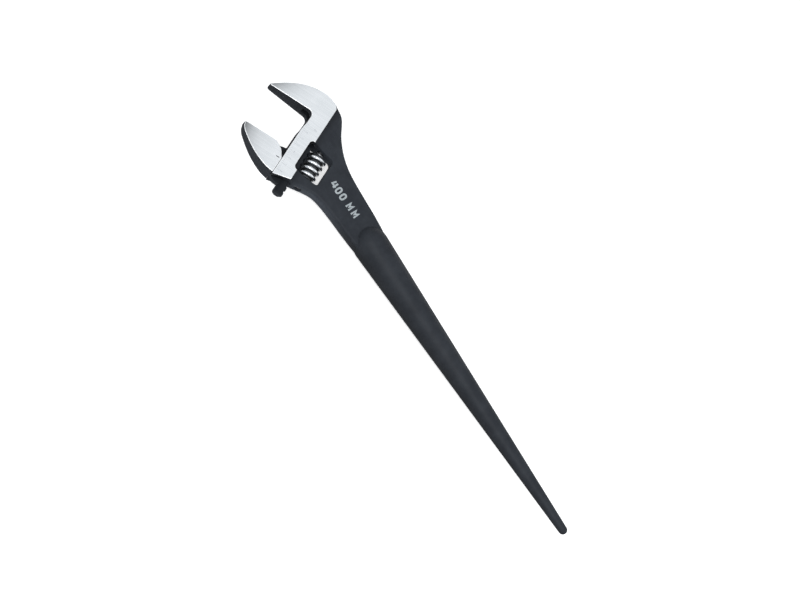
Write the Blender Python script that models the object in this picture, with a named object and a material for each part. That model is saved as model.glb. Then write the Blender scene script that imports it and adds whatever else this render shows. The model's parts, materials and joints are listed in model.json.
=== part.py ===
"""Adjustable construction wrench, 16 inch size: a hook jaw that slides in the head, a knurl that
drives it, and a long round handle that tapers to a blunt point for lining up bolt holes.

The wrench lies flat. +X runs along the handle to its point, +Z is the thickness, and z = 0 is the
middle of the thickness. The origin is the middle of the fixed jaw's gripping face.

The head is drawn in its own slide frame: `across` runs along the jaws, from the jaw tips to the
handle, and is 0 at the slide edge; `along` runs up the slide, from the moving jaw to the fixed jaw,
and is 0 at the slide's lower end. All driving sizes are in millimetres.
"""

import math

import bmesh
import bpy
from mathutils import Matrix, Vector

MM = 0.001

# The head's angle to the handle, and where the slide frame lies
JAW_ANGLE = math.radians(22.5)
FIXED_FACE = 60.0            # along: the fixed jaw's gripping face
FIXED_FACE_MIDDLE = -19.2    # across: the middle of that face, the wrench's origin
JAW_OPENING = 36.0           # gap between the jaws as the wrench is stored
MOVING_FACE = FIXED_FACE - JAW_OPENING
FIT_GAP = 0.3                # clearance between pieces that touch

# Thickness of the head: half of it, at places across the head
HALF_THICKNESS = ((-47.0, 3.2), (-39.0, 4.8), (-35.5, 5.75), (0.0, 10.0), (14.2, 10.0), (22.5, 6.5),
                  (33.0, 6.2), (150.0, 6.2))
SLIDE_WIDTH = 14.2           # the ground flat beside the slide edge ends here
WEB_EDGE_RADIUS = 2.4
WEB_EDGE_STEPS = 3

# Handle
HANDLE_OFFSET = -10.65       # the handle's centre line lies this far below the origin, in Y
HANDLE_DOME = 111.0          # x: the round handle begins as a dome on the flat web
HANDLE_SHOULDER = 127.0      # x: full round
HANDLE_RADIUS = 13.9
POINT_RADIUS = 3.5
HANDLE_END = 390.6
HANDLE_SIDES = 56

# Knurl window
WINDOW_CORNER = 3.2
WINDOW_LEFT, WINDOW_RIGHT = 11.0, 34.8
WINDOW_BOTTOM = 13.5
WINDOW_TOP_LEFT, WINDOW_TOP_RIGHT = 41.0, 37.8

# Rack stem of the moving jaw, its bore and the slot for its neck
STEM_ACROSS = 12.2
STEM_RADIUS = 4.3
STEM_BOTTOM = -8.8
STEM_TOP = 36.2
STEM_CHAMFER = 0.9
BORE_TOP = 72.4
NECK_HALF = 3.0
NECK_TOP = 30.2
NECK_BOTTOM = -2.0
SLOT_TOP = 66.6
SLOT_LEFT = -7.2
SLOT_CORNER = 1.6

# Knurl, its pin and its spring
THREAD_PITCH = 5.0
KNURL_ACROSS = 23.1
KNURL_BOTTOM, KNURL_TOP = 14.1, 35.6
KNURL_RADIUS = 8.2
KNURL_ROOT = 5.7
RIB_CREST, RIB_BASE = 1.9, 3.1
RIB_AT_HANDLE_SIDE = 33.4    # along: where a rib passes the side nearest the handle
KNURL_SIDES = 40
PIN_RADIUS = 2.5
PIN_HEAD_RADIUS = 3.0
PIN_BOTTOM, PIN_TOP = 6.2, 47.5
PIN_HEAD_LENGTH = 6.5
PIN_SLOT = 0.9
SPRING_WIRE = 0.45
SPRING_RADIUS = 3.55
SPRING_BOTTOM, SPRING_TOP = 30.6, 38.2
SPRING_TURNS = 5.0
SPRING_POCKET_RADIUS = 4.5
SPRING_POCKET_DEPTH = 6.0

# Rack teeth: the grooves between them
TOOTH_DEPTH = 1.95
GROOVE_TOP, GROOVE_FLOOR = 3.35, 2.5

# Outlines in the slide frame (across, along), and in the handle frame (x, distance from its centre line)
FIXED_JAW_BACK = [(-38.2, 61.0), (-29.4, 68.0), (-21.3, 73.1), (-12.6, 76.7), (-3.2, 78.3), (5.8, 77.8),
                  (14.2, 74.9)]
WEB_TOP = [(32.8, 37.1), (38.5, 33.6), (45.2, 28.2), (52.8, 23.8), (61.4, 20.1), (71.7, 17.5), (84.0, 16.1),
           (97.0, 15.3), (112.0, 14.3), (126.0, 12.4), (134.0, 8.0)]
WEB_BOTTOM = [(134.0, -8.0), (126.0, -12.4), (110.0, -14.0), (95.0, -14.7), (81.0, -15.8), (72.0, -17.6),
              (65.2, -21.1)]
HEAD_HEEL = [(21.3, 4.3), (13.6, 4.1)]
THROAT = [(0.0, 0.0), (0.0, 43.0), (0.3, 46.0), (0.9, 49.5)]
THROAT_CORNER = (0.9, 60.0)
THROAT_RADIUS = 4.2
FIXED_FACE_END = (-37.3, 60.0)

MOVING_JAW_BACK = [(-0.3, 0.9), (-6.0, 1.7), (-10.6, 3.1), (-15.9, 5.2), (-21.3, 7.9), (-26.4, 11.1),
                   (-31.0, 14.4), (-34.6, 17.3), (-36.9, 20.2)]
MOVING_JAW_NOSE = (-38.1, MOVING_FACE)
MOVING_JAW_ROOT = [(-10.6, MOVING_FACE), (-7.6, 22.4), (-4.7, 20.5), (-3.3, 18.9), (-0.3, 14.0)]
NECK_HEEL = [(4.0, NECK_BOTTOM + 0.2), (0.5, 0.2), (-4.0, 2.6), (-8.5, 7.0)]
NECK_FILLET_START = (-7.4, MOVING_FACE - 0.6)
NECK_FILLET_END = 1.8        # across: the fillet runs out inside the slot
NECK_FILLET_RADIUS = 5.2


# ---------------------------------------------------------------- frames

def to_world(across, along, up=0.0):
    """A place in the slide frame, as world metres."""
    c, s = math.cos(JAW_ANGLE), math.sin(JAW_ANGLE)
    a, b = across - FIXED_FACE_MIDDLE, along - FIXED_FACE
    return Vector(((a * c - b * s) * MM, (a * s + b * c) * MM, up * MM))


def from_handle(x, offset):
    """A place in the handle frame, as (across, along)."""
    c, s = math.cos(JAW_ANGLE), math.sin(JAW_ANGLE)
    y = HANDLE_OFFSET + offset
    return (x * c + y * s + FIXED_FACE_MIDDLE, -x * s + y * c + FIXED_FACE)


def smooth_through(points, steps):
    """A curve through the points: Catmull-Rom spans, each cut into steps."""
    padded = [points[0], *points, points[-1]]
    result = []
    for before, start, end, after in zip(padded, padded[1:], padded[2:], padded[3:]):
        for i in range(steps):
            t = i / steps
            result.append(tuple(
                0.5 * (2 * b + (c - a) * t + (2 * a - 5 * b + 4 * c - d) * t * t
                       + (3 * b - a - 3 * c + d) * t ** 3)
                for a, b, c, d in zip(before, start, end, after)))
    result.append(points[-1])
    return result


def rounded_corner(corner, before, after, radius, steps):
    """The arc that rounds the corner between the directions to before and after."""
    c = Vector(corner)
    u = (Vector(before) - c).normalized()
    v = (Vector(after) - c).normalized()
    half = u.angle(v) / 2
    centre = c + (u + v).normalized() * (radius / math.sin(half))
    start = c + u * (radius / math.tan(half)) - centre
    end = c + v * (radius / math.tan(half)) - centre
    turn = start.angle_signed(end)
    arc = []
    for i in range(steps + 1):
        spoke = start.copy()
        spoke.rotate(Matrix.Rotation(-turn * i / steps, 2))
        arc.append(tuple(centre + spoke))
    return arc


def rounded_polygon(corners, radius, steps):
    result = []
    for i, corner in enumerate(corners):
        result += rounded_corner(corner, corners[i - 1], corners[(i + 1) % len(corners)], radius, steps)
    return result


# ---------------------------------------------------------------- solids

def new_object(name, bm):
    """An object from a bmesh in slide frame millimetres; its mesh is in metres."""
    bmesh.ops.recalc_face_normals(bm, faces=bm.faces)
    bmesh.ops.scale(bm, vec=(MM, MM, MM), verts=bm.verts)
    mesh = bpy.data.meshes.new(name)
    bm.to_mesh(mesh)
    bm.free()
    obj = bpy.data.objects.new(name, mesh)
    bpy.context.collection.objects.link(obj)
    return obj


def extruded(outline, start, travel):
    """A bmesh prism: the outline's 3D points moved along travel."""
    bm = bmesh.new()
    base = bm.faces.new([bm.verts.new(start + Vector(p)) for p in outline])
    moved = bmesh.ops.extrude_face_region(bm, geom=[base])
    points = [part for part in moved["geom"] if isinstance(part, bmesh.types.BMVert)]
    bmesh.ops.translate(bm, vec=travel, verts=points)
    return bm


def plate(name, outline, low, high):
    """A prism of an (across, along) outline between two heights."""
    flat = [(a, b, 0.0) for a, b in outline]
    return new_object(name, extruded(flat, Vector((0, 0, low)), Vector((0, 0, high - low))))


def turned_bmesh(profile, sides):
    """A solid turned about Z from (radius, height) points, bottom to top; both ends are on the axis."""
    bm = bmesh.new()
    rings = []
    for radius, height in profile:
        if radius == 0.0:
            rings.append([bm.verts.new((0, 0, height))])
            continue
        angles = [2 * math.pi * i / sides for i in range(sides)]
        rings.append([bm.verts.new((radius * math.cos(a), radius * math.sin(a), height)) for a in angles])
    for low, high in zip(rings, rings[1:]):
        for i in range(sides):
            j = (i + 1) % sides
            corners = [low[i % len(low)], low[j % len(low)], high[j % len(high)], high[i % len(high)]]
            bm.faces.new(list(dict.fromkeys(corners)))
    return bm


def turned_ring_bmesh(profile, sides):
    """A ring turned about Z from a closed loop of (radius, height) points."""
    bm = bmesh.new()
    rings = []
    for radius, height in profile:
        angles = [2 * math.pi * i / sides for i in range(sides)]
        rings.append([bm.verts.new((radius * math.cos(a), radius * math.sin(a), height)) for a in angles])
    for low, high in zip(rings, rings[1:] + rings[:1]):
        for i in range(sides):
            j = (i + 1) % sides
            bm.faces.new((low[i], low[j], high[j], high[i]))
    return bm


def along_slide(across):
    """Turns a shape built about Z to lie along the slide, with its axis at the given place across."""
    return Matrix.Translation((across, 0, 0)) @ Matrix.Rotation(math.radians(-90), 4, "X")


def rod(name, across, radius, bottom, top, sides=32, chamfer=0.0):
    """A round bar along the slide."""
    profile = [(0.0, bottom), (radius - chamfer, bottom), (radius, bottom + chamfer), (radius, top),
               (0.0, top)]
    if chamfer == 0.0:
        del profile[1]
    bm = turned_bmesh(profile, sides)
    bm.transform(along_slide(across))
    return new_object(name, bm)


def combine(target, tool, operation):
    """Applies a boolean to the target and removes the tool."""
    modifier = target.modifiers.new(operation, "BOOLEAN")
    modifier.operation = operation
    modifier.solver = "EXACT"
    modifier.object = tool
    result = bpy.data.meshes.new_from_object(target.evaluated_get(bpy.context.evaluated_depsgraph_get()))
    target.modifiers.clear()
    old, target.data = target.data, result
    result.name = target.name
    bpy.data.meshes.remove(old)
    bpy.data.objects.remove(tool)
    tidy_mesh(result)
    return target


def tidy_mesh(mesh):
    """Merges doubled points and joins flat neighbours, so that later cuts start clean."""
    bm = bmesh.new()
    bm.from_mesh(mesh)
    bmesh.ops.remove_doubles(bm, verts=bm.verts, dist=0.002 * MM)
    bmesh.ops.dissolve_limit(bm, angle_limit=math.radians(0.3), verts=bm.verts, edges=bm.edges)
    bm.to_mesh(mesh)
    bm.free()


def half_thickness_block(name):
    """The space between the head's two ground faces, long enough for the whole head."""
    top = [(across, 0.0, half) for across, half in HALF_THICKNESS]
    bottom = [(across, 0.0, -half) for across, half in reversed(HALF_THICKNESS)]
    reach = 150.0
    return new_object(name, extruded(top + bottom, Vector((0, -reach, 0)), Vector((0, 2.5 * reach, 0))))


def round_web_edges(obj):
    """Rounds the forged edges of the web, from the ground face's border to the handle."""
    bm = bmesh.new()
    bm.from_mesh(obj.data)
    edges = []
    for edge in bm.edges:
        middle = (edge.verts[0].co + edge.verts[1].co) / 2
        if middle.x < (SLIDE_WIDTH + 0.01) * MM or len(edge.link_faces) != 2:
            continue
        normals = [face.normal for face in edge.link_faces]
        flat = max(abs(n.z) for n in normals)
        upright = min(abs(n.z) for n in normals)
        if flat > 0.8 and upright < 0.1 and min(v.co.x for v in edge.verts) > (SLIDE_WIDTH - 0.05) * MM:
            edges.append(edge)
    bmesh.ops.bevel(bm, geom=edges, offset=WEB_EDGE_RADIUS * MM, segments=WEB_EDGE_STEPS, affect="EDGES",
                    profile=0.5, clamp_overlap=False)
    bm.to_mesh(obj.data)
    bm.free()


# ---------------------------------------------------------------- the pieces

def body_outline():
    """The head and the web, seen from the front, anticlockwise."""
    throat_corner = rounded_corner(THROAT_CORNER, THROAT[-1], FIXED_FACE_END, THROAT_RADIUS, 6)
    back = FIXED_JAW_BACK + [from_handle(*p) for p in WEB_TOP]
    lower = [from_handle(*p) for p in WEB_BOTTOM] + HEAD_HEEL
    return (THROAT + throat_corner + [FIXED_FACE_END] + smooth_through(back, 4)
            + smooth_through(lower, 4))


def make_handle():
    length = HANDLE_SHOULDER - HANDLE_DOME
    steps = 8
    profile = []
    for i in range(steps):
        angle = math.pi / 2 * i / steps
        profile.append((HANDLE_RADIUS * math.sin(angle), HANDLE_SHOULDER - length * math.cos(angle)))
    cone_end = HANDLE_END - POINT_RADIUS
    rings = 6
    for i in range(rings + 1):
        t = i / rings
        profile.append((HANDLE_RADIUS + (POINT_RADIUS - HANDLE_RADIUS) * t,
                        HANDLE_SHOULDER + (cone_end - HANDLE_SHOULDER) * t))
    for i in range(1, 5):
        angle = math.pi / 2 * i / 5
        profile.append((POINT_RADIUS * math.cos(angle), cone_end + POINT_RADIUS * math.sin(angle)))
    profile.append((0.0, HANDLE_END))
    bm = turned_bmesh(profile, HANDLE_SIDES)
    lay_down = Matrix.Rotation(math.radians(90), 4, "Y")
    to_slide = Matrix.Rotation(-JAW_ANGLE, 4, "Z")
    across, along = from_handle(0.0, 0.0)
    bm.transform(Matrix.Translation((across, along, 0)) @ to_slide @ lay_down)
    return new_object("handle", bm)


def make_body():
    body = plate("body", body_outline(), -12.0, 12.0)
    combine(body, half_thickness_block("ground_faces"), "INTERSECT")
    round_web_edges(body)
    combine(body, make_handle(), "UNION")
    corners = [(WINDOW_LEFT, WINDOW_BOTTOM), (WINDOW_RIGHT, WINDOW_BOTTOM),
               (WINDOW_RIGHT, WINDOW_TOP_RIGHT), (WINDOW_LEFT, WINDOW_TOP_LEFT)]
    window = rounded_polygon(corners, WINDOW_CORNER, 5)
    combine(body, plate("window", window, -14.0, 14.0), "DIFFERENCE")
    slot_half = NECK_HALF + FIT_GAP
    slot = rounded_corner((SLOT_LEFT, SLOT_TOP), (SLOT_LEFT, 0), (STEM_ACROSS, SLOT_TOP), SLOT_CORNER, 4)
    slot += [(STEM_ACROSS, SLOT_TOP), (STEM_ACROSS, -14.0), (SLOT_LEFT, -14.0)]
    combine(body, plate("slot", slot, -slot_half, slot_half), "DIFFERENCE")
    combine(body, rod("bore", STEM_ACROSS, STEM_RADIUS + FIT_GAP, -15.0, BORE_TOP), "DIFFERENCE")
    pin_hole = rod("pin_hole", KNURL_ACROSS, PIN_RADIUS + FIT_GAP, WINDOW_BOTTOM - 2.0, PIN_TOP + FIT_GAP, 24)
    combine(body, pin_hole, "DIFFERENCE")
    mouth_top = PIN_BOTTOM + PIN_HEAD_LENGTH + FIT_GAP
    pin_mouth = rod("pin_mouth", KNURL_ACROSS, PIN_HEAD_RADIUS + FIT_GAP, -6.0, mouth_top, 24)
    combine(body, pin_mouth, "DIFFERENCE")
    return body


def neck_outline():
    """The thin neck between the jaw and its rack stem; a fillet rises from the jaw to the slot."""
    start_across, start_along = NECK_FILLET_START
    fillet = [(start_across, start_along)]
    centre = (NECK_FILLET_END - NECK_FILLET_RADIUS, NECK_TOP)
    for i in range(6):
        angle = math.pi / 2 * i / 5
        fillet.append((centre[0] + NECK_FILLET_RADIUS * math.sin(angle),
                       centre[1] - NECK_FILLET_RADIUS * math.cos(angle)))
    return fillet + [(STEM_ACROSS, NECK_TOP), (STEM_ACROSS, NECK_BOTTOM)] + NECK_HEEL


def rack_groove(along):
    """One groove between two rack teeth, slanted to follow the knurl's thread."""
    tip = STEM_ACROSS + STEM_RADIUS
    floor = tip - TOOTH_DEPTH
    over = 1.0
    widen = (GROOVE_TOP - GROOVE_FLOOR) / 2 * over / TOOTH_DEPTH
    shape = [(floor, -GROOVE_FLOOR / 2), (tip + over, -GROOVE_TOP / 2 - widen),
             (tip + over, GROOVE_TOP / 2 + widen), (floor, GROOVE_FLOOR / 2)]
    reach = 6.0
    lead = THREAD_PITCH / (2 * math.pi * (KNURL_RADIUS - TOOTH_DEPTH / 2))
    flat = [(a, b, 0.0) for a, b in shape]
    return new_object("groove", extruded(flat, Vector((0, along - lead * reach, -reach)),
                                         Vector((0, 2 * lead * reach, 2 * reach))))


def make_moving_jaw():
    outline = [MOVING_JAW_NOSE] + smooth_through(list(reversed(MOVING_JAW_BACK)), 3)
    outline += [(MOVING_JAW_BACK[0][0], MOVING_JAW_ROOT[-1][1])] + list(reversed(MOVING_JAW_ROOT[:-1]))
    jaw = plate("moving_jaw", outline, -12.0, 12.0)
    combine(jaw, half_thickness_block("ground_faces"), "INTERSECT")
    combine(jaw, plate("neck", neck_outline(), -NECK_HALF, NECK_HALF), "UNION")
    stem = rod("stem", STEM_ACROSS, STEM_RADIUS, STEM_BOTTOM, STEM_TOP, 32, STEM_CHAMFER)
    rib_at_rack = RIB_AT_HANDLE_SIDE - THREAD_PITCH / 2
    lowest = math.ceil((STEM_BOTTOM - THREAD_PITCH / 2 - rib_at_rack) / THREAD_PITCH)
    highest = math.floor((STEM_TOP + THREAD_PITCH / 2 - rib_at_rack) / THREAD_PITCH)
    for tooth in range(lowest, highest + 1):
        combine(stem, rack_groove(rib_at_rack + tooth * THREAD_PITCH), "DIFFERENCE")
    combine(jaw, stem, "UNION")
    return jaw


def knurl_core():
    """The knurl without its ribs: a bored barrel with a pocket for the spring in its upper end."""
    bore = PIN_RADIUS + FIT_GAP
    floor = KNURL_TOP - SPRING_POCKET_DEPTH
    chamfer = 0.5
    profile = [(bore, KNURL_BOTTOM), (KNURL_ROOT - chamfer, KNURL_BOTTOM),
               (KNURL_ROOT, KNURL_BOTTOM + chamfer), (KNURL_ROOT, KNURL_TOP - chamfer),
               (KNURL_ROOT - chamfer, KNURL_TOP), (SPRING_POCKET_RADIUS, KNURL_TOP),
               (SPRING_POCKET_RADIUS, floor), (bore, floor)]
    return new_object("knurl", turned_ring_bmesh(profile, KNURL_SIDES))


def knurl_rib():
    """The helical rib, built about Z; X points to the handle's side."""
    base = KNURL_ROOT - 0.6
    slope = (RIB_BASE - RIB_CREST) / (KNURL_RADIUS - KNURL_ROOT)
    base_width = RIB_BASE + slope * (KNURL_ROOT - base)
    shoulder, crest = RIB_CREST / 2 + 0.15, RIB_CREST / 2 - 0.25
    section = [(base, -base_width / 2), (KNURL_RADIUS - 0.35, -shoulder), (KNURL_RADIUS, -crest),
               (KNURL_RADIUS, crest), (KNURL_RADIUS - 0.35, shoulder), (base, base_width / 2)]
    lowest = KNURL_BOTTOM - 2.5
    highest = KNURL_TOP + 2.5
    first = math.floor((lowest - RIB_AT_HANDLE_SIDE) / THREAD_PITCH * KNURL_SIDES)
    last = math.ceil((highest - RIB_AT_HANDLE_SIDE) / THREAD_PITCH * KNURL_SIDES)
    bm = bmesh.new()
    rings = []
    for step in range(first, last + 1):
        turns = step / KNURL_SIDES
        angle = 2 * math.pi * turns
        height = RIB_AT_HANDLE_SIDE + THREAD_PITCH * turns
        rings.append([bm.verts.new((r * math.cos(angle), r * math.sin(angle), height + h))
                      for r, h in section])
    for low, high in zip(rings, rings[1:]):
        for i in range(len(section)):
            j = (i + 1) % len(section)
            bm.faces.new((low[i], low[j], high[j], high[i]))
    bm.faces.new(rings[0])
    bm.faces.new(rings[-1])
    return new_object("rib", bm)


def make_knurl():
    """The thumb knurl: a barrel with a coarse right-hand thread, in its own frame about Z."""
    rib = knurl_rib()
    trim = KNURL_RADIUS + 1.0
    ends = new_object("ends", turned_bmesh([(0.0, KNURL_BOTTOM + 0.4), (trim, KNURL_BOTTOM + 0.4),
                                            (trim, KNURL_TOP - 0.4), (0.0, KNURL_TOP - 0.4)], 12))
    combine(rib, ends, "INTERSECT")
    knurl = knurl_core()
    combine(knurl, rib, "UNION")
    return knurl


def make_pin():
    """The knurl's pin: a screw head end with a driver slot, and a plain shank."""
    neck = PIN_BOTTOM + PIN_HEAD_LENGTH
    chamfer = 0.5
    profile = [(0.0, PIN_BOTTOM), (PIN_HEAD_RADIUS - chamfer, PIN_BOTTOM),
               (PIN_HEAD_RADIUS, PIN_BOTTOM + chamfer), (PIN_HEAD_RADIUS, neck), (PIN_RADIUS, neck + chamfer),
               (PIN_RADIUS, PIN_TOP - chamfer), (PIN_RADIUS - chamfer, PIN_TOP), (0.0, PIN_TOP)]
    pin = new_object("knurl_pin", turned_bmesh(profile, 24))
    reach = PIN_HEAD_RADIUS + 1.0
    half = PIN_SLOT / 2
    slot = extruded([(-reach, -half, 0), (reach, -half, 0), (reach, half, 0), (-reach, half, 0)],
                    Vector((0, 0, PIN_BOTTOM - 1.0)), Vector((0, 0, 1.0 + 1.3)))
    combine(pin, new_object("slot", slot), "DIFFERENCE")
    return pin


def make_spring():
    """The small compression spring that steadies the knurl, in its own frame about Z."""
    sides = 6
    per_turn = 18
    steps = int(SPRING_TURNS * per_turn)
    rise = SPRING_TOP - SPRING_BOTTOM - 2 * SPRING_WIRE
    bm = bmesh.new()
    rings = []
    for step in range(steps + 1):
        t = step / steps
        angle = 2 * math.pi * SPRING_TURNS * t
        middle = SPRING_BOTTOM + SPRING_WIRE + rise * t
        ring = []
        for i in range(sides):
            around = 2 * math.pi * i / sides
            radius = SPRING_RADIUS + SPRING_WIRE * math.cos(around)
            ring.append(bm.verts.new((radius * math.cos(angle), radius * math.sin(angle),
                                      middle + SPRING_WIRE * math.sin(around))))
        rings.append(ring)
    for low, high in zip(rings, rings[1:]):
        for i in range(sides):
            j = (i + 1) % sides
            bm.faces.new((low[i], low[j], high[j], high[i]))
    bm.faces.new(rings[0])
    bm.faces.new(rings[-1])
    return new_object("knurl_spring", bm)


# ---------------------------------------------------------------- finish and placing

def finish(obj, colour, roughness, metallic, sharp_angle=30.0):
    material = bpy.data.materials.new(obj.name)
    material.use_nodes = True
    shader = material.node_tree.nodes["Principled BSDF"]
    shader.inputs["Base Color"].default_value = (*colour, 1.0)
    shader.inputs["Roughness"].default_value = roughness
    shader.inputs["Metallic"].default_value = metallic
    obj.data.materials.clear()
    obj.data.materials.append(material)
    obj.data.shade_smooth()
    obj.data.set_sharp_from_angle(angle=math.radians(sharp_angle))


def empty(name, location, rotation):
    marker = bpy.data.objects.new(name, None)
    marker.location = location
    marker.rotation_euler = rotation
    marker.empty_display_size = 10 * MM
    bpy.context.collection.objects.link(marker)
    return marker


def main():
    for obj in list(bpy.data.objects):
        bpy.data.objects.remove(obj)

    flat_in_head = (0.0, 0.0, JAW_ANGLE)
    up_the_slide = (math.radians(-90), 0.0, JAW_ANGLE)

    body = make_body()
    body.location = to_world(0, 0)
    body.rotation_euler = flat_in_head
    finish(body, (0.035, 0.040, 0.047), 0.45, 0.6)

    jaw_line = empty("jaw_slide_line", to_world(STEM_ACROSS, 0), flat_in_head)
    jaw = make_moving_jaw()
    jaw.parent = jaw_line
    jaw.location = (-STEM_ACROSS * MM, 0, 0)
    finish(jaw, (0.70, 0.72, 0.75), 0.35, 1.0)

    knurl_line = empty("knurl_line", to_world(KNURL_ACROSS, 0), up_the_slide)
    for piece, colour, roughness in ((make_knurl(), (0.75, 0.76, 0.78), 0.22),
                                     (make_pin(), (0.30, 0.31, 0.33), 0.35),
                                     (make_spring(), (0.45, 0.46, 0.48), 0.30)):
        piece.parent = knurl_line
        finish(piece, colour, roughness, 1.0)


main()
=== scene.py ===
"""Finishes, marks and studio for an adjustable construction wrench lying on a pale floor.

The head has its own slide frame: `across` runs along the jaws towards the handle and is 0 at the
slide edge, `along` runs up the slide towards the fixed jaw and is 0 at the slide's lower end, and
`up` is the thickness. Sizes are in metres; MM turns millimetres into them.
"""

import json
import math

import bmesh
import bpy
from mathutils import Matrix, Vector


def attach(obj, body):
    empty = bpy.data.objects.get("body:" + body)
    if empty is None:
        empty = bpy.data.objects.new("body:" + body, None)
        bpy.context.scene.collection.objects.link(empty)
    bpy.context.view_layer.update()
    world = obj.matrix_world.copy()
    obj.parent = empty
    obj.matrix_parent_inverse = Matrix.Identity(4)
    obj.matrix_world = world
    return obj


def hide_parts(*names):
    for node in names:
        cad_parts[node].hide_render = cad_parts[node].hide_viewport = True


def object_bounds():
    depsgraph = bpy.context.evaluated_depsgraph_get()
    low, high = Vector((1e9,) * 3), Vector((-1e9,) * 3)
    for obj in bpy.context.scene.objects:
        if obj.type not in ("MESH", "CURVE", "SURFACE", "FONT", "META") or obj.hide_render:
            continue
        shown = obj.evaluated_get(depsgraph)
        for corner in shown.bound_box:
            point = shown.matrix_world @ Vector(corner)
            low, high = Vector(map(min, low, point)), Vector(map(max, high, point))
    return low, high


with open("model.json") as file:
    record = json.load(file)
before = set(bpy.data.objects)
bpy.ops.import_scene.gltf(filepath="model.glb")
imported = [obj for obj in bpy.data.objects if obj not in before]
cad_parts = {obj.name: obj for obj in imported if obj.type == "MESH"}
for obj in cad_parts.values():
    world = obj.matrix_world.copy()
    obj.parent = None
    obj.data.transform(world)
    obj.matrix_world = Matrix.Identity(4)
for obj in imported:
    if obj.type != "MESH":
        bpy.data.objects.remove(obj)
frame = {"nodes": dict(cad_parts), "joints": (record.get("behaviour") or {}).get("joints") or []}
solid_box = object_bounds()

MM = 0.001
UP = Vector((0.0, 0.0, 1.0))

# ---------------------------------------------------------------- where things are

joints = {joint["name"]: joint for joint in frame["joints"]}
UP_THE_SLIDE = Vector(joints["jaw_slide"]["axis"]).normalized()
TO_THE_HANDLE = UP_THE_SLIDE.cross(UP)
JAW_ANGLE = math.atan2(TO_THE_HANDLE.y, TO_THE_HANDLE.x)
FIXED_FACE = 60.0 * MM           # along: the fixed jaw's gripping face
FIXED_FACE_MIDDLE = -19.2 * MM   # across: the middle of that face, which is the origin
JAW_OPENING = 36.0 * MM
GROUND_EDGE = 14.2 * MM          # across: the ground flat ends here and the black web begins
HEAD_HALF = 10.0 * MM            # half the head's thickness beside the slide edge
JAW_TAPER = math.atan(4.25 / 35.5)   # each face of a jaw falls away this much towards its tip
SLIDE_ORIGIN = -FIXED_FACE_MIDDLE * TO_THE_HANDLE - FIXED_FACE * UP_THE_SLIDE

KNURL_CENTRE = Vector(joints["knurl_spin"]["pos_m"])
KNURL_BASE = KNURL_CENTRE - UP_THE_SLIDE * (KNURL_CENTRE - SLIDE_ORIGIN).dot(UP_THE_SLIDE)
KNURL_ACROSS = (KNURL_CENTRE - SLIDE_ORIGIN).dot(TO_THE_HANDLE)


def axes(x, y, z, origin):
    """The matrix that places a shape drawn on these three axes."""
    matrix = Matrix((x, y, z)).transposed().to_4x4()
    matrix.translation = origin
    return matrix


SLIDE = axes(TO_THE_HANDLE, UP_THE_SLIDE, UP, SLIDE_ORIGIN)
KNURL = axes(TO_THE_HANDLE, -UP, UP_THE_SLIDE, KNURL_BASE)


# ---------------------------------------------------------------- node kit

class Value:
    """A number on its way through a node tree; arithmetic on it adds Math nodes."""

    def __init__(self, kit, socket):
        self.kit, self.socket = kit, socket

    def maths(self, operation, *others, swap=False):
        terms = [self, *others]
        if swap:
            terms.reverse()
        return self.kit.add("ShaderNodeMath", {"operation": operation}, dict(enumerate(terms)))[0]

    def __add__(self, other):
        return self.maths("ADD", other)

    def __radd__(self, other):
        return self.maths("ADD", other, swap=True)

    def __sub__(self, other):
        return self.maths("SUBTRACT", other)

    def __rsub__(self, other):
        return self.maths("SUBTRACT", other, swap=True)

    def __mul__(self, other):
        return self.maths("MULTIPLY", other)

    def __rmul__(self, other):
        return self.maths("MULTIPLY", other, swap=True)

    def __truediv__(self, other):
        return self.maths("DIVIDE", other)

    def __pow__(self, other):
        return self.maths("POWER", other)

    def __abs__(self):
        return self.maths("ABSOLUTE")

    def least(self, other):
        return self.maths("MINIMUM", other)

    def most(self, other):
        return self.maths("MAXIMUM", other)

    def cosine(self):
        return self.maths("COSINE")

    def rounded(self):
        return self.maths("ROUND")

    def rise(self, low, high):
        """0 at low and 1 at high, eased between them; low may be the larger."""
        return self.kit.add("ShaderNodeMapRange", {"interpolation_type": "SMOOTHSTEP"},
                            {"Value": self, "From Min": low, "From Max": high})["Result"]


class Made:
    """A node that was added; its outputs are read by name or number."""

    def __init__(self, kit, node):
        self.kit, self.node = kit, node

    def __getitem__(self, key):
        return Value(self.kit, self.node.outputs[key])


class Kit:
    """Adds nodes to one tree."""

    def __init__(self, tree):
        self.tree = tree

    def add(self, kind, settings=None, sockets=None):
        node = self.tree.nodes.new(kind)
        for name, value in (settings or {}).items():
            if name == "stops":
                ramp = node.color_ramp.elements
                while len(ramp) < len(value):
                    ramp.new(1.0)
                for stop, (place, colour) in zip(ramp, value):
                    stop.position, stop.color = place, (*colour, 1.0)
            else:
                setattr(node, name, value)
        for key, value in (sockets or {}).items():
            if isinstance(value, Value):
                self.tree.links.new(value.socket, node.inputs[key])
            else:
                node.inputs[key].default_value = value
        return Made(self, node)


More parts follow.
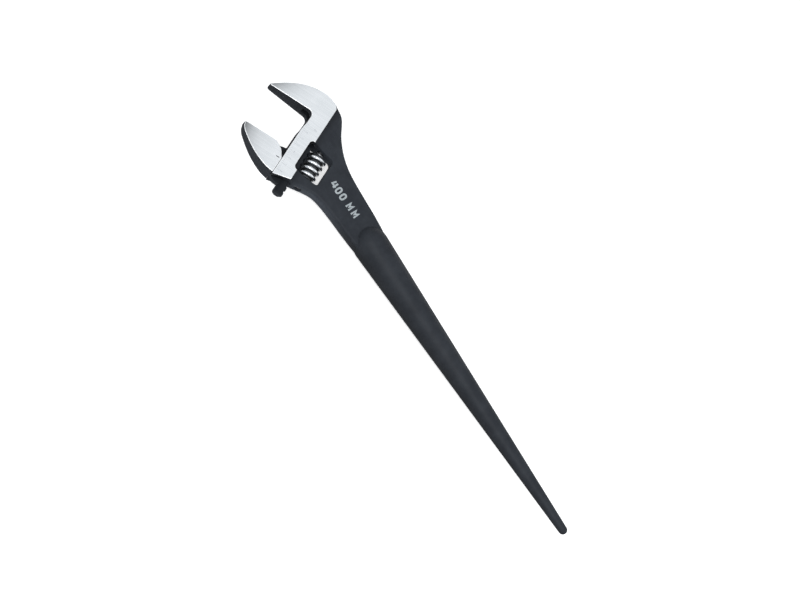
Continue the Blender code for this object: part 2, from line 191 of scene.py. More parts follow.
class Finish(Kit):
    """A metal finish: one Principled surface with constants, and nodes for what varies."""

    def __init__(self, name, **constants):
        self.material = bpy.data.materials.new(name)
        self.material.use_nodes = True
        super().__init__(self.material.node_tree)
        self.tree.nodes.clear()
        self.surface = self.add("ShaderNodeBsdfPrincipled", {}, constants)
        self.add("ShaderNodeOutputMaterial", {}, {"Surface": self.surface[0]})
        self.place = self.add("ShaderNodeTexCoord")["Object"]

    def set(self, **varying):
        for name, value in varying.items():
            self.tree.links.new(value.socket, self.surface.node.inputs[name.replace("_", " ")])
        return self.material

    def turned(self, turn, stretch, origin=(0, 0, 0)):
        """Object coordinates about an origin, turned by minus `turn` about Z, then stretched."""
        moved = self.add("ShaderNodeVectorMath", {"operation": "SUBTRACT"},
                         {0: self.place, 1: tuple(origin)})[0]
        turned = self.add("ShaderNodeMapping", {}, {"Vector": moved, "Rotation": (0, 0, -turn)})[0]
        return self.add("ShaderNodeVectorMath", {"operation": "MULTIPLY"},
                        {0: turned, 1: tuple(stretch)})[0]

    def slide_place(self):
        """Across, along and up, in the head's slide frame."""
        return self.add("ShaderNodeSeparateXYZ", {}, {0: self.turned(JAW_ANGLE, (1, 1, 1), SLIDE_ORIGIN)})

    def noise(self, vector, scale, detail=2.0, roughness=0.5, distortion=0.0):
        """Noise from 0 to 1, about one half."""
        return self.add("ShaderNodeTexNoise", {}, {"Vector": vector, "Scale": scale, "Detail": detail,
                                                   "Roughness": roughness, "Distortion": distortion})[0]

    def mixed(self, share, first, second):
        """The first colour turning into the second as share goes from 0 to 1."""
        return self.add("ShaderNodeMix", {"data_type": "RGBA"},
                        {"Factor": share, 6: self.colour(first), 7: self.colour(second)})[2]

    @staticmethod
    def colour(value):
        return value if isinstance(value, Value) else (*value, 1.0)

    def bump(self, height, distance, strength=1.0):
        return self.add("ShaderNodeBump", {}, {"Height": height, "Distance": distance,
                                               "Strength": strength})[0]

    def ramp(self, share, stops):
        """A colour read off a row of grey stops."""
        greys = [(place, (grey, grey, grey)) for place, grey in stops]
        return self.add("ShaderNodeValToRGB", {"stops": greys}, {0: share})[0]

    def times(self, first, second):
        return self.add("ShaderNodeMix", {"data_type": "RGBA", "blend_type": "MULTIPLY"},
                        {"Factor": 1.0, 6: self.colour(first), 7: self.colour(second)})[2]


# ---------------------------------------------------------------- finishes

HEAD_WALLS_END, HANDLE_FLANKS_START = 74 * MM, 126 * MM   # x: the painted light on the head's upright walls turns into the painted shade on the handle's flanks between these
WEB_SHADE_START, WEB_SHADE_END = 11.5 * MM, 24.0 * MM      # across: the painted shade on the web is darkest at the first and gone at the second


def black_forging(name):
    """Blackened forged steel: a soft sheen, faint mottling and a fine sandy grain. Painted shade makes it
    darker where the web falls away from the ground flat and down the handle's flanks, and painted
    light makes it paler on the head's upright walls, which are also rougher."""
    finish = Finish(name, **{"Specular IOR Level": 0.13})
    cloud = finish.noise(finish.place, 55.0, 3.0, 0.6)
    blotch = finish.noise(finish.place, 230.0, 3.0, 0.65)
    grain = finish.noise(finish.place, 2600.0, 2.0, 0.6)
    rubbed = finish.noise(finish.place, 420.0, 4.0, 0.7).rise(0.60, 0.74)
    share = (cloud * 0.55 + blotch * 0.3 + grain * 0.15).rise(0.34, 0.66)
    colour = finish.mixed(share, (0.0155, 0.0182, 0.0232), (0.0245, 0.0285, 0.0350))
    colour = finish.mixed(rubbed * 0.22, colour, (0.042, 0.047, 0.055))
    # painted shade: the web's colour is darkened where it falls away from the ground flat
    clear_of_web_shade = finish.slide_place()[0].rise(WEB_SHADE_START, WEB_SHADE_END)
    colour = finish.times(colour, finish.ramp(clear_of_web_shade, ((0.0, 0.40), (1.0, 1.0))))
    flank = finish.add("ShaderNodeAttribute", {"attribute_name": "flank"})["Fac"]
    down_handle = finish.add("ShaderNodeSeparateXYZ", {}, {0: finish.place})[0]
    on_head = down_handle.rise(HANDLE_FLANKS_START, HEAD_WALLS_END)
    # painted shade darkens the handle's flanks and painted light pales the head's upright walls
    tone = 1.0 - 0.60 * flank + 1.32 * flank * on_head
    colour = finish.add("ShaderNodeVectorMath", {"operation": "SCALE"}, {0: colour, "Scale": tone})[0]
    roughness = 0.43 + 0.14 * blotch + 0.05 * grain - 0.06 * rubbed + 0.38 * flank
    height = grain * 0.7 + blotch * 1.6
    return finish.set(Base_Color=colour, Roughness=roughness, Normal=finish.bump(height, 0.05 * MM, 0.55))


JAW_TIP, TIP_SHADE_LENGTH = -40 * MM, 50 * MM     # across: painted shade darkens the ground faces from the tip inwards
TIP_PAINTED_SHADE = ((0.0, 0.15), (0.04, 0.21), (0.12, 0.46), (0.20, 0.66), (0.30, 0.82), (0.44, 0.93), (0.64, 1.0))


def ground_steel(name, edge, lean):
    """Bright steel ground along the jaws, with painted shade darkening it towards the tip. The shaded
    end leans back along the jaw, measured from its gripping edge."""
    finish = Finish(name, Metallic=1.0)
    lines = finish.noise(finish.turned(JAW_ANGLE, (45.0, 3300.0, 45.0)), 1.0, 3.0, 0.65)
    wide = finish.noise(finish.turned(JAW_ANGLE, (22.0, 420.0, 22.0)), 1.0, 2.0, 0.5)
    cloud = finish.noise(finish.place, 90.0, 2.0, 0.5)
    share = (lines * 0.5 + wide * 0.3 + cloud * 0.2).rise(0.25, 0.75)
    colour = finish.mixed(share, (0.73, 0.76, 0.78), (0.89, 0.91, 0.93))
    placed = finish.slide_place()
    from_tip = placed[0] + lean * (placed[1] - edge) - JAW_TIP
    # painted shade: the ground steel's colour darkens towards the jaw's tip
    colour = finish.times(colour, finish.ramp(from_tip / TIP_SHADE_LENGTH, TIP_PAINTED_SHADE))
    roughness = 0.17 + 0.10 * lines + 0.05 * cloud
    return finish.set(Base_Color=colour, Roughness=roughness, Normal=finish.bump(lines, 0.012 * MM, 0.6))


def rubbed_edge(name):
    """The narrow rounded edge round a ground face, rubbed bright."""
    finish = Finish(name, Metallic=1.0)
    nick = finish.noise(finish.place, 900.0, 3.0, 0.6)
    colour = finish.mixed(nick.rise(0.28, 0.52), (0.62, 0.64, 0.67), (0.97, 0.98, 0.99))
    return finish.set(Base_Color=colour, Roughness=0.34 + 0.20 * nick,
                      Normal=finish.bump(nick, 0.02 * MM, 0.5))


GROOVE_SHADE_TOP, GROOVE_SHADE_FULL = 7.75 * MM, 6.55 * MM   # from the knurl's axis: no painted shade outside the first, full painted shade inside the second


def plated_steel(name):
    """Bright plating with small waves, and painted shade down between the ribs."""
    finish = Finish(name, Metallic=1.0)
    cloud = finish.noise(finish.place, 480.0, 3.0, 0.6)
    grain = finish.noise(finish.place, 3800.0, 2.0, 0.5)
    colour = finish.mixed(cloud.rise(0.32, 0.66), (0.58, 0.61, 0.64), (0.90, 0.92, 0.94))
    placed = finish.slide_place()
    off_axis = placed[0] - KNURL_ACROSS
    radius = (off_axis * off_axis + placed[2] * placed[2]) ** 0.5
    # painted shade: the plating's colour darkens down between the ribs, nearer the knurl's axis
    groove_shade = (radius + 0.35 * MM * cloud).rise(GROOVE_SHADE_TOP, GROOVE_SHADE_FULL)
    colour = finish.mixed(groove_shade * 0.94, colour, (0.018, 0.020, 0.023))
    return finish.set(Base_Color=colour, Roughness=0.15 + 0.12 * cloud + 0.05 * grain + 0.3 * groove_shade,
                      Normal=finish.bump(cloud * 1.0 + grain * 0.3, 0.03 * MM, 0.5))


def oiled_steel(name, dark, light):
    """Plain turned steel with a film of oil."""
    finish = Finish(name, Metallic=1.0)
    rings = finish.noise(finish.turned(JAW_ANGLE, (160.0, 5200.0, 160.0)), 1.0, 2.0, 0.6)
    cloud = finish.noise(finish.place, 320.0, 3.0, 0.6)
    colour = finish.mixed((rings * 0.4 + cloud * 0.6).rise(0.3, 0.7), dark, light)
    return finish.set(Base_Color=colour, Roughness=0.24 + 0.20 * cloud,
                      Normal=finish.bump(rings, 0.01 * MM, 0.5))


def filled_mark(name, dark, light, roughness):
    """Etching or paint that is a little patchy."""
    finish = Finish(name, Metallic=0.0)
    patch = finish.noise(finish.place, 1500.0, 3.0, 0.65)
    speck = finish.noise(finish.place, 5200.0, 2.0, 0.6)
    colour = finish.mixed((patch * 0.7 + speck * 0.3).rise(0.34, 0.60), dark, light)
    return finish.set(Base_Color=colour, Roughness=roughness + 0.15 * patch,
                      Normal=finish.bump(speck, 0.01 * MM, 0.4))


def floor_paper(name):
    finish = Finish(name, **{"Emission Color": (1.0, 1.0, 1.0, 1.0), "Emission Strength": 0.48})
    tone = finish.noise(finish.place, 3.0, 2.0, 0.5)
    fibre = finish.noise(finish.place, 700.0, 2.0, 0.5)
    colour = finish.mixed(tone, (0.72, 0.72, 0.72), (0.76, 0.76, 0.76))
    return finish.set(Base_Color=colour, Roughness=0.75 + 0.1 * fibre)


# ---------------------------------------------------------------- making pieces

MERGE, FLAT_ANGLE = 0.002 * MM, math.radians(0.4)   # nearer points, and flatter edges, are one
FORGING_SHARP, PIN_SHARP, TURNED_SHARP = 36, 28, 50  # degrees: sharper edges stay crisp
RIM_WIDTH = 0.36 * MM                                # the rubbed edge round a ground face
OUTER_HEIGHT, JAW_SIDE = 8.5 * MM, -9.0 * MM         # up and across, beyond which flats are ground


def new_piece(name, mesh, materials):
    mesh.name = name
    if len(mesh.materials):
        mesh.materials.clear()
    for material in materials:
        mesh.materials.append(material)
    piece = bpy.data.objects.new(name, mesh)
    bpy.context.collection.objects.link(piece)
    return piece


def is_ground(face):
    """True for a face of the head or the jaw that the grinder leaves bright."""
    middle = SLIDE.inverted() @ face.calc_center_median()
    outermost = abs(middle.z) > OUTER_HEIGHT or middle.x < JAW_SIDE
    return abs(face.normal.z) > 0.9 and outermost and middle.x < GROUND_EDGE


def solid_copy(node):
    """A solid's shape with its points merged and its flats joined."""
    bm = bmesh.new()
    bm.from_mesh(frame["nodes"][node].data)
    bmesh.ops.remove_doubles(bm, verts=bm.verts, dist=MERGE)
    bmesh.ops.dissolve_limit(bm, angle_limit=FLAT_ANGLE, verts=bm.verts, edges=bm.edges)
    for face in bm.faces:
        face.smooth = True
    return bm


def shaped(name, bm, sharp_angle, materials):
    """The piece that this shape makes, smooth but for edges sharper than the angle."""
    mesh = bpy.data.meshes.new(name)
    bm.to_mesh(mesh)
    bm.free()
    mesh.set_sharp_from_angle(angle=math.radians(sharp_angle))
    piece = new_piece(name, mesh, materials)
    weights = piece.modifiers.new("flats_lead", "WEIGHTED_NORMAL")
    weights.keep_sharp = True
    weights.weight = 90
    bpy.context.view_layer.update()
    piece.data = bpy.data.meshes.new_from_object(
        piece.evaluated_get(bpy.context.evaluated_depsgraph_get()))
    piece.modifiers.clear()
    note_flanks(piece.data)
    return piece


def note_flanks(mesh):
    """Keeps, at every corner, how far the surface there turns away from the wrench's broad sides."""
    flank = mesh.attributes.new("flank", "FLOAT", "CORNER")
    flank.data.foreach_set("value", [1.0 - abs(corner.vector.z) for corner in mesh.corner_normals])


def forging(name, node, black, ground, edge):
    """A forged piece with bright ground faces and a rubbed edge round them."""
    bm = solid_copy(node)
    for face in bm.faces:
        face.material_index = 1 if is_ground(face) else 0
    rim = [e for e in bm.edges if len(e.link_faces) == 2
           and {f.material_index for f in e.link_faces} == {0, 1} and e.calc_face_angle() > 0.5]
    bmesh.ops.bevel(bm, geom=rim, offset=RIM_WIDTH, segments=2, affect="EDGES", profile=0.5,
                    clamp_overlap=False, material=2)
    return shaped(name, bm, FORGING_SHARP, [black, ground, edge])


def run_recipe(name, tree, values, start=None):
    """Runs a Geometry Nodes tree once and returns the plain mesh that it makes."""
    carrier = bpy.data.objects.new(name, start or bpy.data.meshes.new(name))
    bpy.context.collection.objects.link(carrier)
    modifier = carrier.modifiers.new(name, "NODES")
    modifier.node_group = tree
    for item in tree.interface.items_tree:
        if item.in_out == "INPUT" and item.name in values:
            modifier[item.identifier] = values[item.name]
    bpy.context.view_layer.update()
    mesh = bpy.data.meshes.new_from_object(carrier.evaluated_get(bpy.context.evaluated_depsgraph_get()))
    carrier.modifiers.clear()
    bpy.data.objects.remove(carrier)
    return mesh


class Recipe(Kit):
    """A Geometry Nodes tree with named inputs."""

    def __init__(self, name, takes_shape, **kinds):
        super().__init__(bpy.data.node_groups.new(name, "GeometryNodeTree"))
        self.tree.interface.new_socket("Geometry", in_out="OUTPUT", socket_type="NodeSocketGeometry")
        if takes_shape:
            self.tree.interface.new_socket("Geometry", in_out="INPUT", socket_type="NodeSocketGeometry")
        for key, kind in kinds.items():
            self.tree.interface.new_socket(key, in_out="INPUT", socket_type="NodeSocket" + kind)
        self.inputs = self.add("NodeGroupInput")

    def __getitem__(self, key):
        return self.inputs[key]

    def finish(self, shape, smooth):
        smoothed = self.add("GeometryNodeSetShadeSmooth", {}, {"Geometry": shape, "Shade Smooth": smooth})[0]
        real = self.add("GeometryNodeRealizeInstances", {}, {"Geometry": smoothed})[0]
        painted = self.add("GeometryNodeSetMaterial", {}, {"Geometry": real, "Material": self["Finish"]})[0]
        self.add("NodeGroupOutput", {}, {"Geometry": painted})
        return self.tree


# ---------------------------------------------------------------- thumb knurl

KNURL_PITCH = 5.0 * MM
KNURL_LOW, KNURL_HIGH = 14.1 * MM, 35.6 * MM
KNURL_CREST, KNURL_ROOT = 8.2 * MM, 5.7 * MM
KNURL_BORE, KNURL_POCKET = 2.8 * MM, 4.5 * MM
KNURL_POCKET_FLOOR = 29.6 * MM
RIB_AT_HANDLE_SIDE = 33.4 * MM
RIB_HALF_WIDTH = 1.52 * MM
KNURL_STEPS, KNURL_ROWS = 288, 124
KNURL_NICKS, NICK_DEPTH = 48, 0.06 * MM
KNURL_CHAMFER = 0.5 * MM
RIB_END = 0.45 * MM                        # the thread stops this far inside each end
RIB_FADE = 0.25 * MM
RIB_FULLNESS, RIB_ROUNDNESS = 2.8, 0.62    # powers that shape a rib's section


def knurl_blank():
    """The turned barrel before its thread is cut, bored and pocketed, about Z."""
    low, high = KNURL_LOW + KNURL_CHAMFER, KNURL_HIGH - KNURL_CHAMFER
    barrel = [(KNURL_ROOT, low + (high - low) * i / KNURL_ROWS) for i in range(KNURL_ROWS + 1)]
    neck = KNURL_ROOT - KNURL_CHAMFER
    outline = [(KNURL_BORE, KNURL_LOW), (neck, KNURL_LOW), *barrel,
               (neck, KNURL_HIGH), (KNURL_POCKET, KNURL_HIGH),
               (KNURL_POCKET, KNURL_POCKET_FLOOR), (KNURL_BORE, KNURL_POCKET_FLOOR)]
    bm = bmesh.new()
    rings = []
    for step in range(KNURL_STEPS):
        angle = 2 * math.pi * step / KNURL_STEPS
        rings.append([bm.verts.new((r * math.cos(angle), r * math.sin(angle), z)) for r, z in outline])
    for step, ring in enumerate(rings):
        after = rings[(step + 1) % KNURL_STEPS]
        for i in range(len(outline)):
            j = (i + 1) % len(outline)
            bm.faces.new((ring[i], after[i], after[j], ring[j]))
    bmesh.ops.recalc_face_normals(bm, faces=bm.faces)
    mesh = bpy.data.meshes.new("knurl_blank")
    bm.to_mesh(mesh)
    bm.free()
    return mesh


def thread_recipe():
    """Lifts a rounded helical rib out of a barrel about Z, and nicks its crest for grip."""
    recipe = Recipe("knurl_thread", True, Pitch="Float", Root="Float", Lift="Float", HalfWidth="Float",
                    Start="Float", Low="Float", High="Float", Nicks="Float", NickDepth="Float",
                    Finish="Material")
    place = recipe.add("GeometryNodeInputPosition")[0]
    parts = recipe.add("ShaderNodeSeparateXYZ", {}, {0: place})
    x, y, z = parts[0], parts[1], parts[2]
    radius = (x * x + y * y) ** 0.5
    angle = y.maths("ARCTAN2", x)
    phase = (z - recipe["Start"]) / recipe["Pitch"] - angle * (0.5 / math.pi)
    off_middle = abs(phase - phase.rounded()) * recipe["Pitch"] / recipe["HalfWidth"]
    rib = (1 - off_middle.least(1.0) ** RIB_FULLNESS) ** RIB_ROUNDNESS
    ends = ((z - recipe["Low"]) / RIB_FADE).least((recipe["High"] - z) / RIB_FADE).most(0.0).least(1.0)
    nick = (0.5 - 0.5 * (angle * recipe["Nicks"]).cosine()) ** 2.0 * rib.rise(0.75, 0.95)
    lift = (rib * recipe["Lift"] - nick * recipe["NickDepth"]) * ends
    share = lift / radius.most(0.001 * MM)
    offset = recipe.add("ShaderNodeCombineXYZ", {}, {0: x * share, 1: y * share})[0]
    on_barrel = radius.maths("GREATER_THAN", recipe["Root"] - 0.01 * MM)
    threaded = recipe.add("GeometryNodeSetPosition", {}, {"Geometry": recipe["Geometry"],
                                                          "Selection": on_barrel, "Offset": offset})[0]
    return recipe.finish(threaded, True)


def thumb_knurl(finish):
    values = {"Pitch": KNURL_PITCH, "Root": KNURL_ROOT, "Lift": KNURL_CREST - KNURL_ROOT,
              "HalfWidth": RIB_HALF_WIDTH, "Start": RIB_AT_HANDLE_SIDE, "Low": KNURL_LOW + RIB_END,
              "High": KNURL_HIGH - RIB_END, "Nicks": float(KNURL_NICKS), "NickDepth": NICK_DEPTH,
              "Finish": finish}
    mesh = run_recipe("thumb_knurl", thread_recipe(), values, knurl_blank())
    mesh.transform(KNURL)
    mesh.set_sharp_from_angle(angle=math.radians(TURNED_SHARP))
    return new_piece("thumb_knurl", mesh, [finish])


# ---------------------------------------------------------------- pin and spring

def knurl_pin(finish):
    """The turned pin with its driver slot."""
    return shaped("pin_of_knurl", solid_copy("knurl_pin"), PIN_SHARP, [finish])


SPRING_WIRE = 0.45 * MM
SPRING_RADIUS = 3.55 * MM
SPRING_LOW, SPRING_HIGH = 30.6 * MM, 38.2 * MM
SPRING_TURNS = 5.0


def coil_recipe():
    """Round wire wound in an even coil about Z."""
    recipe = Recipe("coil_spring", False, Turns="Float", Radius="Float", Height="Float", Wire="Float",
                    Finish="Material")
    line = recipe.add("GeometryNodeCurveSpiral", {}, {"Resolution": 40, "Rotations": recipe["Turns"],
                                                      "Start Radius": recipe["Radius"],
                                                      "End Radius": recipe["Radius"],
                                                      "Height": recipe["Height"], "Reverse": False})[0]
    wire = recipe.add("GeometryNodeCurvePrimitiveCircle", {}, {"Resolution": 10,
                                                               "Radius": recipe["Wire"]})[0]
    coil = recipe.add("GeometryNodeCurveToMesh", {}, {"Curve": line, "Profile Curve": wire,
                                                      "Fill Caps": True})[0]
    return recipe.finish(coil, True)


def knurl_spring(finish):
    rise = SPRING_HIGH - SPRING_LOW - 2 * SPRING_WIRE
    values = {"Turns": SPRING_TURNS, "Radius": SPRING_RADIUS, "Height": rise, "Wire": SPRING_WIRE,
              "Finish": finish}
    mesh = run_recipe("coil", coil_recipe(), values)
    mesh.transform(KNURL @ Matrix.Translation((0, 0, SPRING_LOW + SPRING_WIRE)))
    mesh.set_sharp_from_angle(angle=math.radians(TURNED_SHARP))
    return new_piece("coil_of_knurl", mesh, [finish])


# ---------------------------------------------------------------- scales and marks

MARK_HEIGHT = 0.015 * MM   # how far a mark's filling stands above the steel
INCH = 25.4 * MM
SCALE_ZERO = 49.2 * MM     # along: where the index would stand with the jaws closed
TICK_START = 1.3 * MM      # across: the ticks' outer ends
TICK_SHORT, TICK_LONG, TICK_WIDTH = 1.2 * MM, 2.0 * MM, 0.16 * MM
INDEX_LENGTH, INDEX_WIDTH, INDEX_ACROSS = 2.7 * MM, 0.75 * MM, -3.3 * MM
WEB_HALF = 6.2 * MM        # half the web's thickness
LETTER_GAP = 1.06          # of the font's own spacing


def tick_recipe():
    """A row of ticks up the slide; every so often one is longer."""
    recipe = Recipe("scale_ticks", False, Count="Int", Step="Float", Short="Float", Long="Float",
                    Every="Float", Width="Float", Height="Float", Finish="Material")
    step = recipe.add("ShaderNodeCombineXYZ", {}, {1: 0 - recipe["Step"]})[0]
    row = recipe.add("GeometryNodeMeshLine", {}, {"Count": recipe["Count"], "Offset": step})[0]
    bar = recipe.add("GeometryNodeMeshCube", {}, {"Size": (1.0, 1.0, 1.0)})[0]
    bar = recipe.add("GeometryNodeTransform", {}, {"Geometry": bar, "Translation": (0.5, 0.0, 0.5)})[0]
    index = recipe.add("GeometryNodeInputIndex")[0]
    is_long = index.maths("FLOORED_MODULO", recipe["Every"]).maths("LESS_THAN", 0.5)
    length = recipe["Short"] + (recipe["Long"] - recipe["Short"]) * is_long
    size = recipe.add("ShaderNodeCombineXYZ", {}, {0: length, 1: recipe["Width"], 2: recipe["Height"]})[0]
    ticks = recipe.add("GeometryNodeInstanceOnPoints", {}, {"Points": row, "Instance": bar,
                                                            "Scale": size})[0]
    return recipe.finish(ticks, False)


def on_face(back):
    """The slide frame's matrix for a mark on the front, or on the back, read from that side."""
    if not back:
        return SLIDE @ Matrix.Translation((0, 0, HEAD_HALF))
    return SLIDE @ Matrix.Translation((0, 0, -HEAD_HALF)) @ Matrix.Rotation(math.pi, 4, "Y")


def lettering(text, size, matrix):
    """Raised letters as a mesh, with their middle at the matrix's origin."""
    curve = bpy.data.curves.new("lettering", "FONT")
    curve.body = text
    curve.size = size
    curve.space_character = LETTER_GAP
    curve.extrude = MARK_HEIGHT
    curve.align_x = "CENTER"
    curve.align_y = "CENTER"
    curve.resolution_u = 3
    carrier = bpy.data.objects.new("lettering", curve)
    bpy.context.collection.objects.link(carrier)
    bpy.context.view_layer.update()
    mesh = bpy.data.meshes.new_from_object(carrier.evaluated_get(bpy.context.evaluated_depsgraph_get()))
    bpy.data.objects.remove(carrier)
    bm = bmesh.new()
    bm.from_mesh(mesh)
    bmesh.ops.remove_doubles(bm, verts=bm.verts, dist=0.001 * MM)
    bmesh.ops.recalc_face_normals(bm, faces=bm.faces)
    bm.to_mesh(mesh)
    bm.free()
    mesh.transform(matrix)
    return mesh


def joined(name, meshes, finish):
    """One piece from several meshes."""
    bm = bmesh.new()
    for mesh in meshes:
        bm.from_mesh(mesh)
        bpy.data.meshes.remove(mesh)
    for face in bm.faces:
        face.material_index = 0
        face.smooth = False
    mesh = bpy.data.meshes.new(name)
    bm.to_mesh(mesh)
    bm.free()
    return new_piece(name, mesh, [finish])


def opening_scale(name, back, step, count, every, labels, finish):
    """Ticks down from the closed mark, with figures beside them."""
    face = on_face(back)
    side = -1.0 if back else 1.0
    ticks = {"Count": count, "Step": step, "Short": TICK_SHORT, "Long": TICK_LONG, "Every": float(every),
             "Width": TICK_WIDTH, "Height": MARK_HEIGHT, "Finish": finish}
    row = run_recipe(name, tick_recipe(), ticks)
    row.transform(Matrix.Translation((TICK_START, SCALE_ZERO, 0)))
    if back:
        row.transform(Matrix.Scale(-1, 4, (1, 0, 0)))
        row.flip_normals()
    row.transform(face)
    meshes = [row]
    for text, travel, across, size in labels:
        spot = face @ Matrix.Translation((side * across, SCALE_ZERO - travel, 0))
        meshes.append(lettering(text, size, spot))
    return joined(name, meshes, finish)


def inch_scale(finish):
    labels = []
    names = {1: "1/4", 2: "1/2", 3: "3/4", 5: "1/4", 6: "1/2", 7: "3/4"}
    for quarter, text in names.items():
        labels.append((text, quarter * INCH / 4, 4.7 * MM, 1.7 * MM))
    labels.append(("1", INCH, 5.0 * MM, 2.9 * MM))
    labels.append(("IN", INCH * 0.04, 9.6 * MM, 2.2 * MM))
    return opening_scale("inch_scale", False, INCH / 16, 29, 4, labels, finish)


def millimetre_scale(finish):
    labels = [(str(ten * 10), ten * 10 * MM, 5.2 * MM, 2.3 * MM) for ten in range(5)]
    labels.append(("MM", 1.0 * MM, 10.0 * MM, 2.2 * MM))
    return opening_scale("millimetre_scale", True, 1.0 * MM, 46, 5, labels, finish)


def opening_index(finish):
    """The short line on each face of the moving jaw that is read against the scale."""
    along = SCALE_ZERO - JAW_OPENING
    size = Matrix.Diagonal((INDEX_LENGTH, INDEX_WIDTH, 2 * MARK_HEIGHT, 1.0))
    bm = bmesh.new()
    for side in (1, -1):
        taper = Matrix.Rotation(-side * JAW_TAPER, 4, "Y")
        corner = Matrix.Translation((0, along, side * HEAD_HALF))
        bmesh.ops.create_cube(bm, size=1.0, matrix=SLIDE @ corner @ taper
                              @ Matrix.Translation((INDEX_ACROSS, 0, 0)) @ size)
    mesh = bpy.data.meshes.new("opening_index")
    bm.to_mesh(mesh)
    bm.free()
    return new_piece("opening_index", mesh, [finish])


# Plain figures: the middle lines of their strokes, in a box one wide and one high
STROKES = {
    "4": [[(0.25, 1.0), (0.0, 0.32), (0.716, 0.32)], [(0.95, 0.0), (0.95, 1.0)],
          [(1.184, 0.32), (1.36, 0.32)]],
    "0": [[(0.55 + 0.5 * math.copysign(abs(math.cos(turn)) ** 0.75, math.cos(turn)),
            0.5 + 0.5 * math.copysign(abs(math.sin(turn)) ** 0.75, math.sin(turn)))
           for turn in (math.radians(12 * (k % 30) + 6) for k in range(31))]],
    "M": [[(0.0, 0.0), (0.0, 1.0), (0.55, 0.42), (1.1, 1.0), (1.1, 0.0)]],
}


def stroke(points, width, height):
    """A flat band of even width along a line of points, mitred at its corners."""
    points = [Vector(p) for p in points]
    closed = (points[0] - points[-1]).length < 1e-9
    if closed:
        points.pop()
    count = len(points)
    bm = bmesh.new()
    rows = []
    for i, point in enumerate(points):
        before = points[i - 1] if closed or i else point
        after = points[(i + 1) % count] if closed or i < count - 1 else point
        arms = [(b - a).normalized() for a, b in ((before, point), (point, after)) if (b - a).length > 0]
        lean = sum(arms, Vector((0, 0))).normalized()
        side = Vector((-lean.y, lean.x)) * (width / 2 / max(lean.dot(arms[0]), 0.5))
        rows.append([bm.verts.new((*(point + side * s), z)) for s, z in
                     ((1, 0), (1, height), (-1, height), (-1, 0))])
    for i in range(count if closed else count - 1):
        row, following = rows[i], rows[(i + 1) % count]
        for k in range(4):
            bm.faces.new((row[k], row[(k + 1) % 4], following[(k + 1) % 4], following[k]))
    if not closed:
        bm.faces.new(rows[0])
        bm.faces.new(rows[-1])
    bmesh.ops.recalc_face_normals(bm, faces=bm.faces)
    mesh = bpy.data.meshes.new("stroke")
    bm.to_mesh(mesh)
    bm.free()
    return mesh


def size_mark(finish):
    """The nominal size in pale paint on the web, read towards the handle."""
    start, base = 71.2 * MM, -12.5 * MM     # x and y of the first figure's foot
    wide, high, pen, step = 3.1 * MM, 5.2 * MM, 1.45 * MM, 5.75 * MM
    places = (0.0, 1.0, 2.0, 3.55, 4.75)    # in steps; a space parts the figures from the letters
    meshes = []
    for place, letter in zip(places, "400MM"):
        corner = Vector((start + place * step, base))
        for line in STROKES[letter]:
            band = stroke([corner + Vector((x * wide, y * high)) for x, y in line], pen, MARK_HEIGHT)
            band.transform(Matrix.Translation((0, 0, WEB_HALF)))
            meshes.append(band)
    return joined("size_mark", meshes, finish)


# ---------------------------------------------------------------- studio

FLOOR_REACH, FLOOR_GAP = 4.0, 0.2 * MM
MIDDLE = Vector((0.15, -0.01, 0.0))
SKY_COLOUR, SKY_LOW, SKY_GAIN, SKY_TOP = (0.96, 0.98, 1.0, 1.0), 0.42, 0.53, 0.75
LAMPS = (("overhead", (0.03, -0.50, 1.3), (0.9, 0.28), 10.8),     # name, place from the middle,
         ("side_fill", (1.1, 0.9, 0.9), (0.9, 0.9), 2.0))         # size, power in watts


def studio(floor_finish):
    bm = bmesh.new()
    bmesh.ops.create_grid(bm, x_segments=8, y_segments=8, size=FLOOR_REACH)
    bmesh.ops.translate(bm, vec=(MIDDLE.x, 0.0, solid_box[0].z - FLOOR_GAP), verts=bm.verts)
    mesh = bpy.data.meshes.new("floor")
    bm.to_mesh(mesh)
    bm.free()
    floor = new_piece("floor", mesh, [floor_finish])

    world = bpy.data.worlds.new("studio")
    world.use_nodes = True
    sky = Kit(world.node_tree)
    sky.tree.nodes.clear()
    height = sky.add("ShaderNodeSeparateXYZ", {}, {0: sky.add("ShaderNodeTexCoord")["Generated"]})[2]
    shade = sky.add("ShaderNodeBackground", {}, {"Color": SKY_COLOUR,
                                                 "Strength": SKY_LOW + SKY_GAIN * height.rise(0.0, SKY_TOP)})
    sky.add("ShaderNodeOutputWorld", {}, {"Surface": shade[0]})
    bpy.context.scene.world = world

    for name, offset, size, power in LAMPS:
        lamp = bpy.data.lights.new(name, "AREA")
        lamp.shape = "RECTANGLE"
        lamp.size, lamp.size_y = size
        lamp.energy = power
        light = bpy.data.objects.new(name, lamp)
        light.location = MIDDLE + Vector(offset)
        light.rotation_mode = "QUATERNION"
        light.rotation_quaternion = (-Vector(offset)).to_track_quat("-Z", "Y")
        bpy.context.collection.objects.link(light)


CAMERA_ROLL, CAMERA_TILT = math.radians(56), math.radians(23)
CAMERA_AWAY, CAMERA_FIELD = 1.6, 0.6076          # distance, and the width seen at that distance
LOOK_AT = Vector((162.4, -10.65, 0.0)) * MM
LOOK_RIGHT, LOOK_DOWN = 2.05 * MM, 11.62 * MM    # the view's middle, from there
FILM_WIDTH = 36.0


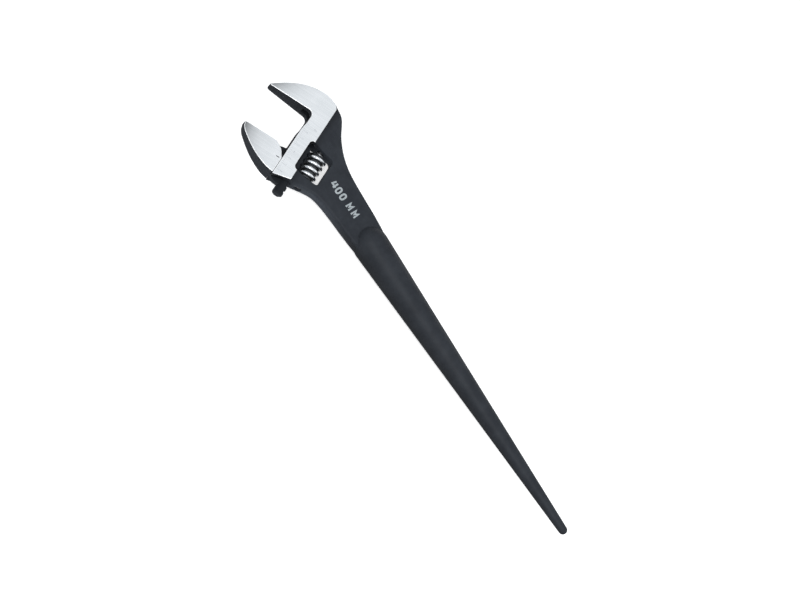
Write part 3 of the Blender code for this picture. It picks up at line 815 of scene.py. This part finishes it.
def camera():
    """Above the wrench, tilted towards its lower side, with the handle running down to the right."""
    roll, tilt = CAMERA_ROLL, CAMERA_TILT
    back = Vector((0, -math.sin(tilt), math.cos(tilt)))
    along_floor = Vector((0, math.cos(tilt), math.sin(tilt)))
    right = math.cos(roll) * Vector((1, 0, 0)) + math.sin(roll) * along_floor
    up = -math.sin(roll) * Vector((1, 0, 0)) + math.cos(roll) * along_floor
    look = LOOK_AT + right * LOOK_RIGHT - up * LOOK_DOWN
    lens = bpy.data.cameras.new("camera")
    lens.sensor_width = FILM_WIDTH
    lens.lens = FILM_WIDTH * CAMERA_AWAY / CAMERA_FIELD
    lens.clip_start, lens.clip_end = 0.05, 20.0
    eye = bpy.data.objects.new("camera", lens)
    eye.matrix_world = axes(right, up, back, look + back * CAMERA_AWAY)
    bpy.context.collection.objects.link(eye)
    bpy.context.scene.camera = eye


# ---------------------------------------------------------------- the wrench

def dress():
    black = black_forging("black_forging")
    edge = rubbed_edge("rubbed_edge")
    fixed_ground = ground_steel("ground_head", FIXED_FACE + 3.7 * MM, -0.55)
    moving_ground = ground_steel("ground_jaw", FIXED_FACE - JAW_OPENING - 2.0 * MM, 0.15)
    scale_fill = filled_mark("scale_filling", (0.16, 0.18, 0.20), (0.40, 0.42, 0.45), 0.45)
    index_fill = filled_mark("index_filling", (0.03, 0.03, 0.03), (0.08, 0.08, 0.09), 0.5)
    pale_paint = filled_mark("pale_paint", (0.20, 0.23, 0.24), (0.33, 0.36, 0.38), 0.5)

    for piece, body, node, slot in (
            (forging("forged_head_and_handle", "body", black, fixed_ground, edge),
             "frame", "body", "forged_body"),
            (forging("hook_jaw", "moving_jaw", black, moving_ground, edge),
             "jaw", "moving_jaw", "forged_jaw"),
            (thumb_knurl(plated_steel("bright_plating")), "thumb_knurl", "knurl", "plated_knurl"),
            (knurl_pin(oiled_steel("oiled_pin_steel", (0.10, 0.10, 0.11), (0.26, 0.27, 0.28))),
             "frame", "knurl_pin", "steel_pin"),
            (knurl_spring(oiled_steel("spring_wire", (0.22, 0.23, 0.24), (0.42, 0.43, 0.45))),
             "frame", "knurl_spring", "spring_steel")):
        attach(piece, body)
        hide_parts(node)

    for mark, body, slot in ((inch_scale(scale_fill), "frame", "forged_body"),
                             (millimetre_scale(scale_fill), "frame", "forged_body"),
                             (size_mark(pale_paint), "frame", "forged_body"),
                             (opening_index(index_fill), "jaw", "forged_jaw")):
        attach(mark, body)


dress()
studio(floor_paper("pale_floor"))
camera()
bpy.context.scene.view_settings.view_transform = "Standard"
